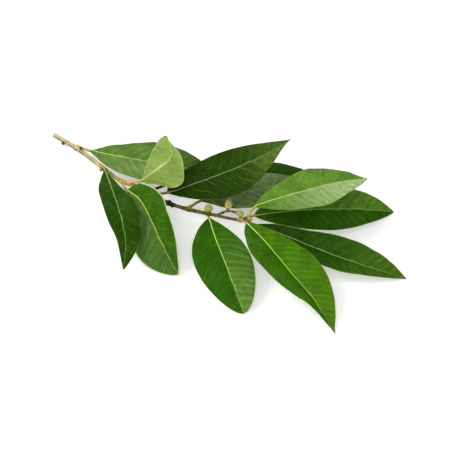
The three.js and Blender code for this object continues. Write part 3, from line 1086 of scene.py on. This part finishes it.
    @staticmethod
    def _stripe(off: Array, rib: Array, share: float, least: float) -> Array:
        """A painted stripe on the midrib, a share of its width and a little more, of even strength."""
        return np.exp(-((off / (share * rib + least)) ** 4))

    def _stalk_radius(self, share: Array) -> Array:
        """The stalk's radius at each ring: thick at its foot, slim, and thicker again at the blade."""
        way_up = (share - share[0]) / (share[self.STALK_STEPS] - share[0])
        foot, neck = hump(way_up, 0.0, 0.3), smooth(way_up - 0.5)
        thick = self.STALK_WAIST + self.STALK_FOOT * foot + self.STALK_NECK * neck
        return self.girth * self.STALK_RADIUS * thick

    def _samples(self, width: Array, rib: Array) -> Array:
        """Distances from the midrib at which a half is sampled, closer at the midrib and the margin."""
        near = np.array(self.RIB_SAMPLES)[None, :] * np.minimum(rib, width * 0.45)
        spread = np.sin(np.arange(1, self.SHEET_SAMPLES + 1) / self.SHEET_SAMPLES * math.pi / 2)
        return np.concatenate([near, near[:, -1:] + (width - near[:, -1:]) * spread], axis=1)

    def _swells(
        self, way: Side, t: Array, flat: Array, walked: Array, width: Array, y: Array, phase: Array
    ) -> Array:
        """How far the blade's middle layer rises: curled margins, ripple, quilting and slow billows.

        Args:
            way: Which half.
            t: Each ring's share of the blade.
            flat: How flat each ring is.
            walked: Each ring's distance from the blade's base.
            width: The half's reach at each ring.
            y: Distances from the midrib.
            phase: The count of side veins.

        Returns:
            Heights over the fold's plane.
        """
        s = y / width
        inner = smooth((y - self.QUILT_FROM) / self.QUILT_RISE)
        outer = smooth(np.maximum(width - y, 0) / self.QUILT_EDGE)
        swell = self.quilt * flat * inner * outer * np.sin(math.pi * phase) ** 2
        uneven = Waves(self.number * 7 + way.value)
        billow = uneven.at(walked, y, self.BILLOW_LENGTH) * smooth(y / self.BILLOW_FROM)
        billow = billow + self.PUCKER * s * uneven.at(walked, y, self.PUCKER_LENGTH)
        late = 0 if way is Side.LEFT else 0.5
        ripple = self.wave * np.sin(math.pi * (2 * self.MARGIN_WAVES * t + late))
        bend = (ripple * smooth(width / self.RIPPLE_WIDTH) - self.curl * width) * s * s * flat
        return bend + swell + self.BILLOW * flat * billow

    def _phase(self, way: Side, walked: Array, y: Array) -> Array:
        """Counts the side veins: a whole number lies on each, as they sweep forward to the margin."""
        uneven = Waves(self.number * 5 + way.value)
        drift = self.VEIN_DRIFT * uneven.at(walked, np.zeros_like(y), self.DRIFT_LENGTH)
        start = walked - self.sweep * y - self.VEIN_BOW * y * y
        return start / self.vein_gap + (self.VEIN_OFFSET if way is Side.LEFT else 0.0) + drift

    @staticmethod
    def _marks(
        half: dict[str, Array], pick: Array, under: bool, reach: Array, t: Array, walked: Array
    ) -> dict[str, Array]:
        """The values that the finish reads, for a quarter of every ring."""
        kept = ("lateral", "margin", "share", "rib", "rib_back", "stalk")
        marks = {name: half[name][:, pick] for name in kept}
        marks["under"] = np.full(reach.shape, float(under))
        marks["reach"] = reach
        marks["length"] = np.broadcast_to(walked[:, None], reach.shape)
        marks["along"] = np.broadcast_to(t[:, None], reach.shape)
        return marks


# ---- buds and the flowering shoot ----
@dataclass
class Bud:
    """A bud wrapped in overlapping scales.

    Attributes:
        node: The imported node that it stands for.
        finish: Its skin.
        points: The way it points.
        length: Its length.
        radius: Its radius where it is thickest.
        belly: The share of its length at which it is thickest.
        point: How pointed it is; 0.5 is a globe and 1 a cone.
        along: How far from the cut end it leaves the stem; None at the stem's tip.
        start: The point where it starts, for a bud beside the stem.
        heart: The point inside what it grows on where its foot begins, for a bud beside the stem.
        sunk: How much deeper than usual it sits.
        scales: Heights of the scales' tips, as shares of its length.
        step: How thick a scale's edge is.
        neck: How thick it is where it starts, as a share of its radius.
        steps: How many rings it has.
        sides: How many points each ring has.
    """

    node: str
    finish: BudFinish
    points: Point
    length: float
    radius: float
    belly: float
    point: float
    along: float | None = None
    start: Point | None = None
    heart: Point | None = None
    sunk: float = 0.0
    scales: tuple[float, ...] = (0.35, 0.6, 0.85)
    step: float = 0.12
    neck: float = 0.4
    steps: int = 90
    sides: int = 72

    ROOT_RADIUS = 0.5
    TIP_GAP = 1.2
    TIP_HEART = 0.985
    LAST_RING = 0.995
    CORE = 0.94
    SCALE_SWEEP = 0.42
    EDGE_WIDTH = 0.03

    def build(self, stem: Stem, place: Array) -> bpy.types.Object:
        """Makes the bud where it grows."""
        skin = self._skin(*self._foot(stem))
        piece = skin.build(f"{self.node}_scales", self.finish.material(), place)
        seat(piece, self.node)
        return piece

    def _foot(self, stem: Stem) -> tuple[Array, Array]:
        """The point where it starts, and the point inside what it grows on where its foot begins."""
        if self.start and self.heart:
            return np.array(self.start, float), np.array(self.heart, float)
        way = unit(np.array(self.points, float))
        if self.along is None:
            return stem.curve.at(1.0)[0] + way * (self.TIP_GAP - self.sunk), stem.curve.at(self.TIP_HEART)[0]
        centre = stem.centre(self.along)
        return stem.root(self.along, centre + way, self.ROOT_RADIUS) - way * self.sunk, centre

    def _skin(self, start: Array, heart: Array) -> Skin:
        """The bud's rings from its foot, sunk in what it grows on, to its tip."""
        way = unit(np.array(self.points, float))
        share = np.r_[0.0, (1 - np.cos(math.pi * np.linspace(0, self.LAST_RING, self.steps))) / 2][:, None]
        angle = turns(self.sides)
        end = np.where(share < self.belly, 0.0, 1.0)
        off = (share - self.belly) / (end - self.belly)
        body = self.radius * np.maximum(1 - off * off, 0) ** self.point
        body = np.where(share < self.belly, np.maximum(body, self.neck * self.radius), body)
        rise, edge = self._wrap(share, angle)
        radius = body * self.CORE + rise * smooth(body / self.radius * 2)
        centre = start + way * (share * self.length)
        centre[0] = heart
        marks = {
            "along": share * self.length,
            "turn": np.cos(angle) * body,
            "lift": np.sin(angle) * body,
            "share": share,
            "edge": edge,
        }
        return Skin(hoops(centre, way, radius, angle), marks)

    def _wrap(self, share: Array, angle: Array) -> tuple[Array, Array]:
        """Thickness added by the scales, and where their edges are.

        Args:
            share: Shares of the bud's length.
            angle: Angles round it.

        Returns:
            The added thickness and a value that is 1 on an edge.
        """
        rise = 0.0
        edge = np.zeros(np.broadcast_shapes(share.shape, angle.shape))
        for k, top in enumerate(self.scales):
            turn = angle + k * math.pi / 2
            border = top - self.SCALE_SWEEP * top * np.abs(np.sin(turn)) ** 1.6
            rise = rise + self.step * smooth((border - share) / self.EDGE_WIDTH + 0.5)
            edge = np.maximum(edge, hump(share - border, -0.012, self.EDGE_WIDTH))
        return rise, edge


@dataclass
class Shoot:
    """The short green shoot that carries the flower buds.

    Attributes:
        along: Where it leaves the stem.
        route: Points that it runs through.
        root_radius: Its radius at the stem.
        end_radius: Its radius at the end.
        heel: How far back its grain runs into the stem.
        sunk: How much nearer to the stem's middle than the bark it leaves it.
        joints: The place, height and length of each joint, as shares of its length.
        finish: Its skin.
        steps: How many rings it has.
        sides: How many points each ring has.
    """

    along: float = 160.0
    route: tuple[Point, ...] = ((-2.5, 10.2, 21.5), (1, 10.2, 22), (5, 9, 22))
    root_radius: float = 0.8
    end_radius: float = 0.6
    heel: float = 2.5
    sunk: float = 0.9
    joints: tuple[Point, ...] = ((0.42, 1.6, 0.06), (0.66, 1.0, 0.04), (0.87, 1.0, 0.05))
    finish: BudFinish = BudFinish("green_shoot_skin", low="#6a5826", high="#5c5826", edge="#3c2c10")
    steps: int = 160
    sides: int = 28

    JOINT_HEIGHT = 0.22
    ROOT_SWELL = 0.4
    LUMPS = 0.05

    def build(self, stem: Stem, place: Array) -> bpy.types.Object:
        """Makes the shoot, with its joints and the swelling where it leaves the stem."""
        root = stem.root(self.along, np.array(self.route[0]), -self.sunk)
        curve = Route([stem.centre(self.along - self.heel), root, *self.route])
        share = np.linspace(0.02, 1, self.steps)[:, None]
        angle = turns(self.sides)
        joints = sum(height * hump(share, at, length) for at, height, length in self.joints)
        radius = lerp(self.root_radius, self.end_radius, share) + self.JOINT_HEIGHT * joints
        radius = radius + self.ROOT_SWELL * hump(share, 0.0, 0.2)
        radius = radius + self.LUMPS * Waves(31).at(share * 14, angle, 3.0)
        marks = {
            "along": share * curve.length,
            "turn": np.cos(angle),
            "lift": np.sin(angle),
            "share": share,
            "edge": joints,
        }
        skin = Skin(hoops(curve.at(share[:, 0]), curve.heading(share[:, 0]), radius, angle), marks)
        piece = skin.build("flower_shoot_stalk", self.finish.material(), place)
        seat(piece, "flower_shoot")
        return piece


# ---- the sprig ----
@dataclass
class Sprig:
    """Everything that grew on one stem.

    Attributes:
        leaves: Its leaves, from the cut end to the tip.
        buds: Its buds.
        shoot: Its flowering shoot.
    """

    leaves: list[Leaf]
    buds: list[Bud]
    shoot: Shoot = field(default_factory=Shoot)

    def build(self) -> None:
        """Makes the stem and all that it carries."""
        stem = Stem([leaf.along for leaf in self.leaves])
        place = stem.place()
        stem.build(place)
        for grown in (*self.leaves, self.shoot, *self.buds):
            grown.build(stem, place)


LEAVES = [
    Leaf(
        1, 25, [(-104, 82, 8), (-84, 73, 12), (-59, 65, 14), (-35, 59, 15), (-12, 53, 14)],
        [(0, 0, 1), (0, 0, 1)], Half(19, 0.54, 0.85, 0.8), Half(19.5, 0.5, 1, 0.9),
        LeafFinish(
            blade="#5f8a2a", shade="#3e6416", veins=(0.5, 0.4), mesh=0.26, net="#72a02c", painted_tip_shade=0.8,
            painted_sheen=(0.14, 0.35), painted_sheen_from=-0.8, painted_sheen_tint="#a4bc7c", stalk="#cdb070", painted_vein_shade=0.8,
        ), quilt=0.26, girth=1.45,
    ),
    Leaf(
        2, 56, [(-91, 58, 14), (-84, 34, 20), (-77, 10, 22), (-72, -11, 16), (-73, -30, 6)],
        [(-0.1, -0.6, 0.8), (0.4, -0.6, 0.7), (0.4, -0.6, 0.7)],
        Half(13.4, 0.6, 1.2, 0.9), Half(12.2, 0.48, 1.05, 1),
        LeafFinish(blade="#285201", shade="#1b4001", midrib="#a8cc64", veins=(0.2, 0.24)),
        fold=15, rib_share=0.75,
    ),
    Leaf(
        3, 80, [(-73.5, 35.5, 16.2), (-64, 26, 17), (-56, 11, 15), (-46, -11, 9.3), (-35, -30, 1.4)],
        [(0.2, -0.5, 0.8), (-0.25, -0.75, 0.6), (-0.25, -0.75, 0.6)],
        Half(19.3, 0.48, 0.6, 0.78), Half(20.6, 0.6, 0.75, 0.63),
        LeafFinish(
            blade="#346802", shade="#245001", veins=(0.18, 0.35), mesh=0.24, net="#6a9c20", rim=1.0,
            rim_width=1.6, margin="#bccb8e", burn=0.0, painted_foot_shade=0.0, painted_sheen=(0.0, 0.26), painted_sheen_from=1.8,
            painted_sheen_full=0.0, painted_sheen_tint="#8c9c6c", stalk="#b8a45c", painted_vein_shade=0.6,
        ), quilt=0.28, fold=25,
    ),
    Leaf(
        4, 87, [(-63, 40, 21), (-55, 39, 30), (-46, 37, 41), (-40, 38, 51), (-43, 46, 61)],
        [(0.1, 0.6, -0.8), (0, 0.64, -0.77)], Half(19, 0.43, 1.2, 2.3), Half(14, 0.62, 0.75, 0.6),
        LeafFinish(
            blade="#386604", shade="#2c5603", gloss=0.2, rim=0.5, margin="#c9d696", burn=0.0,
            stalk="#d8ba6c",
        ), girth=1.35, rib_share=0.85, fold=12, curl=0.05, wave=0.5,
    ),
    Leaf(
        5, 103, [(-41, 48, 9), (-14, 56, 5), (15, 59, 4), (41, 60, 4), (73, 57, 3)],
        [(0, 0, 1), (0, 0, 1)], Half(16, 0.5, 0.8, 1.1), Half(16, 0.5, 0.8, 1.1),
        LeafFinish(blade="#1b4201", shade="#133401", gloss=0.05, veins=(0.15, 0.15), stalk="#3c240c"),
        curl=0.1, girth=1.4, rib_share=0.75,
    ),
    Leaf(
        6, 107, [(-44, 32, 17), (-24, 31, 28), (4, 38, 36), (26, 49, 39), (45, 64, 39)],
        [(0, -0.64, 0.77), (0, -0.64, 0.77)], Half(14.4, 0.44, 0.55, 1.1), Half(18.2, 0.46, 1.1, 1.6),
        LeafFinish(
            blade="#214201", shade="#163101", midrib="#94a870", veins=(0.16, 0.28), painted_foot_shade=0.75,
            painted_sheen=(0.3, 0.5), painted_sheen_from=0.45, painted_sheen_tint="#86aa48", stalk="#80522e", dry=0.6,
        ), fold=10, girth=1.25, rib_share=0.8,
    ),
    Leaf(
        7, 138, [(-20, 26, 15), (-5, 31, 14), (11, 35, 14), (28, 42, 12), (51, 52, 9)],
        [(0, 0, 1), (0, 0, 1)], Half(17.5, 0.5, 0.8, 1), Half(17, 0.5, 0.8, 1),
        LeafFinish(
            blade="#3c6212", shade="#294c08", midrib="#8a9c62", lateral="#9cb088", net="#86a064",
            mesh=0.34, painted_sheen=(0.45, 0.45), painted_sheen_from=-0.8, painted_sheen_tint="#869a62", stalk="#94803c",
            painted_vein_shade=0.6,
        ), quilt=0.3, curl=0.1, rib_share=0.8, girth=1.4,
    ),
    Leaf(
        8, 154, [(-14, 8, 17), (-10, -9, 18), (-4, -27, 16), (3, -45, 9), (10, -63, 0.6)],
        [(-0.2, -0.4, 0.9), (0, -0.4, 0.8), (0, -0.6, 0.8)],
        Half(18.4, 0.55, 0.85, 0.55), Half(20.5, 0.46, 0.75, 0.63),
        LeafFinish(
            blade="#326a01", shade="#225401", midrib="#c8e678", veins=(0.5, 0.15), painted_sheen=(0.42, 0.0),
            painted_sheen_from=0.1, painted_sheen_tint="#86a850", stalk="#7c7428", painted_vein_shade=0.6,
        ), quilt=0.28, sweep=0.3, curl=0.12, vein_gap=5.2,
    ),
    Leaf(
        9, 178, [(12, 0.5, 20.8), (25, -16, 20), (41, -40, 18), (57, -59, 11), (71, -80, 0.3)],
        [(0.1, -0.4, 0.87), (0.4, -0.35, 0.87), (0.6, -0.3, 0.8)],
        Half(20, 0.55, 0.75, 1.1), Half(20.3, 0.39, 1.15, 1.33),
        LeafFinish(
            blade="#447e01", shade="#306201", midrib="#d2ec84", veins=(0.45, 0.2), painted_sheen=(0.12, 0.0),
            painted_sheen_tint="#94bc28", dry=0.4, burn=0.8,
        ), fold=25, vein_gap=5.4,
    ),
    Leaf(
        10, 181, [(19, 2, 17), (40, -6, 14), (67, -17, 10), (96, -26, 5), (123, -33, 0.3)],
        [(0.2, -0.17, 0.97), (0.2, -0.25, 0.95)], Half(15.1, 0.61, 0.5, 1), Half(15.6, 0.44, 0.8, 0.9),
        LeafFinish(
            blade="#235201", shade="#194201", midrib="#a8c66e", veins=(0.24, 0.24), rim=0.6, burn=0.3,
            painted_foot_shade=0.75, painted_sheen=(0.14, 0.13), painted_sheen_from=0.42, painted_sheen_full=0.85, painted_sheen_tint="#8cb83c",
            dry=0.8,
        ), fold=25, rib_share=0.75,
    ),
    Leaf(
        11, 179, [(17.8, 9.4, 18), (46, 15, 17), (74, 19, 14), (96, 23, 9), (119, 28, 0.3)],
        [(0, -0.5, 0.87), (0, -0.3, 0.95)], Half(17.5, 0.53, 0.55, 0.75), Half(16.1, 0.5, 0.78, 0.82),
        LeafFinish(
            blade="#2e6601", shade="#205001", midrib="#9cbc60", veins=(0.24, 0.24), rim=0.4, burn=0.5,
            painted_foot_shade=0.3, painted_sheen=(0.28, 0.0), painted_sheen_tint="#8cb83c", dry=0.8,
        ), rib_share=0.75,
    ),
    Leaf(
        12, 182, [(18, 13, 23), (30, 15, 28), (54, 20, 33), (78, 27, 34), (98, 32, 32)],
        [(0, 0, 1), (0, 0, 1)], Half(17.5, 0.5, 0.75, 1.2), Half(18, 0.52, 0.8, 0.9),
        LeafFinish(
            blade="#68962a", shade="#4a781a", midrib="#cbe078", net="#96bc48", gloss=0.25,
            veins=(0.3, 0.55), mesh=0.26, painted_sheen=(0.0, 0.7), painted_sheen_from=0.06, painted_sheen_tint="#c0d29c",
            stalk="#bcb648", dry=0.8, painted_vein_shade=0.5,
        ), quilt=0.4, sweep=0.36, vein_gap=5.8, girth=1.25,
    ),
]  # fmt: skip

BROWN_BUD = BudFinish("brown_bud_skin", low="#4d3820", high="#5d4728", edge="#33220f", rough=0.6)
GREEN_BUD = BudFinish("green_bud_skin", low="#7d8634", high="#8d9440", edge="#5a5a22")
YELLOW_BUD = BudFinish("yellow_bud_skin", low="#9aa040", high="#a9b04c", edge="#77762e")
FLOWER_BUD = BudFinish("flower_bud_skin", low="#b0b254", high="#a8ac4c", edge="#6a6426", rough=0.45)
CROWNED_BUD = BudFinish("crowned_bud_skin", low="#c0c468", high="#5c5414", edge="#544818", rough=0.45)
END_BUD = BudFinish("end_bud_skin", low="#a47a38", high="#ccb45c", edge="#2c1808", rough=0.55)
BUDS = [
    Bud(
        "leaf_bud_01", BROWN_BUD, (0.1, -1, -0.2), length=2.4, radius=1.15, belly=0.5, point=0.4,
        along=12, neck=0.7, sunk=1.0,
    ),
    Bud(
        "leaf_bud_02", BROWN_BUD, (0.3, -0.1, 1), length=2.6, radius=0.9, belly=0.4, point=0.8,
        along=30,
    ),
    Bud(
        "leaf_bud_03", GREEN_BUD, (-0.8, -0.6, 0.1), length=3, radius=1.2, belly=0.5, point=0.5,
        along=59, neck=0.7, sunk=0.6,
    ),
    Bud(
        "leaf_bud_04", YELLOW_BUD, (0.3, -0.94, 0.15), length=5.2, radius=0.8, belly=0.4, point=0.9,
        start=(-74.4, 34.2, 18), heart=(-74.6, 36.8, 16.3),
    ),
    Bud(
        "flower_bud_01", FLOWER_BUD, (-0.1, 0.7, 0.7), length=5.8, radius=3.0, belly=0.55, point=0.5,
        along=153.6, scales=(0.5, 0.75, 1.0), sunk=1.0,
    ),
    Bud(
        "flower_bud_02", CROWNED_BUD, (0.2, 0.6, 0.8), length=9.2, radius=2.5, belly=0.4, point=0.55,
        start=(-1, 11.2, 23), heart=(-1, 10.2, 21.7), scales=(0.6, 0.85),
    ),
    Bud(
        "flower_bud_03", FLOWER_BUD, (0.77, -0.63, 0.1), length=5.6, radius=2.2, belly=0.55, point=0.5,
        start=(5.6, 9.4, 22.1), heart=(4.6, 9.1, 22), scales=(0.5, 0.75, 1.0),
    ),
    Bud(
        "end_bud", END_BUD, (0.9, -0.1, 0.35), length=6.5, radius=1.95, belly=0.3, point=0.8,
        scales=(0.2, 0.4, 0.6, 0.8), step=0.22, neck=0.75, sunk=5.5,
    ),
]  # fmt: skip


# ---- studio ----
@dataclass
class Softbox:
    """A square lamp that faces the sprig.

    Attributes:
        name: The lamp's name.
        azimuth: The compass side that it stands on, in degrees; 0 is behind the sprig, 90 at its right.
        elevation: Its height above the horizon, in degrees.
        distance: How far away it is, in metres.
        size: Its width, in metres.
        power: Its power, in watts.
        shows: Whether glossy surfaces mirror it.
    """

    name: str
    azimuth: float
    elevation: float
    distance: float
    size: float
    power: float
    shows: bool = True

    def build(self, aim: Vector) -> None:
        """Hangs the lamp."""
        around, above = math.radians(self.azimuth), math.radians(self.elevation)
        level = math.cos(above)
        way = Vector((math.sin(around) * level, math.cos(around) * level, math.sin(above)))
        lamp = bpy.data.lights.new(self.name, "AREA")
        lamp.shape = "SQUARE"
        lamp.size = self.size
        lamp.energy = self.power
        holder = bpy.data.objects.new(self.name, lamp)
        holder.location = aim + way * self.distance
        holder.rotation_euler = way.to_track_quat("Z", "Y").to_euler()
        holder.visible_glossy = self.shows
        bpy.context.scene.collection.objects.link(holder)


@dataclass
class Studio:
    """The pale table, the lamps and the camera.

    Attributes:
        aim: What the camera looks at, in metres from the middle of the sprig's foot.
        elevation: The camera's height above the horizon, in degrees.
        distance: How far it stands from what it looks at, in metres.
        lens: Its focal length, in millimetres.
        table_size: The table's width, in metres.
        ceiling: How bright the room's ceiling is.
        softboxes: The lamps.
    """

    aim: Point = (0.0055, -0.0126, 0.0148)
    elevation: float = 50.0
    distance: float = 0.9
    lens: float = 101.06
    table_size: float = 8.0
    ceiling: float = 0.05
    softboxes: tuple[Softbox, ...] = (
        Softbox("key_softbox", -78, 46, 1.3, 0.5, 9.6, shows=False),
        Softbox("top_fill", -120, 78, 1.5, 1.6, 7.4, shows=False),
        Softbox("front_fill", 170, 32, 1.6, 1.2, 8.6, shows=False),
        Softbox("rear_softbox", 0, 34, 1.4, 0.55, 2.4),
        Softbox("roof_softbox", -155, 70, 1.4, 0.4, 1.2),
        Softbox("right_softbox", 86, 40, 1.4, 0.5, 1.5),
    )

    TABLE_TONE = (0.84, 0.84, 0.84, 1)
    WHITE = (1, 1, 1, 1)
    PLAIN_TABLE = (0.2, 0.7)
    GLOW = 0.36
    WALL_TOP = (0.25, 0.45)

    def build(self) -> None:
        """Sets up the table, the light and the camera."""
        aim = Vector(self.aim)
        self._table()
        self._sky()
        for softbox in self.softboxes:
            softbox.build(aim)
        self._camera(aim)
        bpy.context.scene.view_settings.view_transform = "Standard"

    def _camera(self, aim: Vector) -> None:
        """Points the camera at the sprig."""
        above = math.radians(self.elevation)
        camera = bpy.data.cameras.new("camera")
        camera.lens = self.lens
        camera.sensor_width = 36.0
        camera.clip_start, camera.clip_end = 0.01, 50.0
        holder = bpy.data.objects.new("camera", camera)
        back = Vector((0, -math.cos(above), math.sin(above)))
        holder.location = aim + back * self.distance
        holder.rotation_euler = back.to_track_quat("Z", "Y").to_euler()
        bpy.context.scene.collection.objects.link(holder)
        bpy.context.scene.camera = holder

    def _table(self) -> None:
        """Lays the table top, whose white comes from its colour and from what the camera sees."""
        half = self.table_size / 2
        corners = [(-half, -half, 0), (half, -half, 0), (half, half, 0), (-half, half, 0)]
        mesh = bpy.data.meshes.new("table_top")
        mesh.from_pydata(corners, [], [(0, 1, 2, 3)])
        wiring = Wiring.material("table_white")
        spot = wiring.add("ShaderNodeNewGeometry").outputs["Position"]
        away = wiring.add("ShaderNodeVectorMath", {0: spot}, operation="LENGTH").outputs["Value"]
        white = wiring.times(self._seen(wiring), wiring.ramp(away, *self.PLAIN_TABLE, self.GLOW, 1.0))
        glow = wiring.add("ShaderNodeEmission", {"Color": self.WHITE, "Strength": white})
        matt = wiring.add("ShaderNodeBsdfDiffuse", {"Color": self.TABLE_TONE})
        wiring.output(wiring.add("ShaderNodeAddShader", {0: glow.outputs[0], 1: matt.outputs[0]}))
        mesh.materials.append(wiring.owner)
        table = bpy.data.objects.new("table_top", mesh)
        bpy.context.scene.collection.objects.link(table)

    @staticmethod
    def _seen(wiring: Wiring) -> Socket:
        """1 for what the camera sees directly, in a mirror or through glass."""
        path = wiring.add("ShaderNodeLightPath")
        seen = wiring.math("MAXIMUM", path.outputs["Is Camera Ray"], path.outputs["Is Transmission Ray"])
        return wiring.math("MAXIMUM", seen, path.outputs["Is Glossy Ray"])

    def _sky(self) -> None:
        """A room with white walls near the horizon and a dim ceiling."""
        world = bpy.data.worlds.new("room")
        wiring = Wiring(world)
        way = wiring.add("ShaderNodeTexCoord").outputs["Generated"]
        height = wiring.add("ShaderNodeSeparateXYZ", {0: way}).outputs["Z"]
        wall = wiring.ramp(height, *self.WALL_TOP, 1.0, self.ceiling)
        room = wiring.add("ShaderNodeBackground", {"Color": self.WHITE, "Strength": wall})
        wiring.output(room, "ShaderNodeOutputWorld")
        bpy.context.scene.world = world


def record_size() -> None:
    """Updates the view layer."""
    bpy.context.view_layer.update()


def main() -> None:
    """Builds the sprig, then the studio round it."""
    logging.basicConfig(level=logging.INFO, format="%(name)s: %(message)s")
    Sprig(LEAVES, BUDS).build()
    Studio().build()
    record_size()


if __name__ == "__main__":
    main()
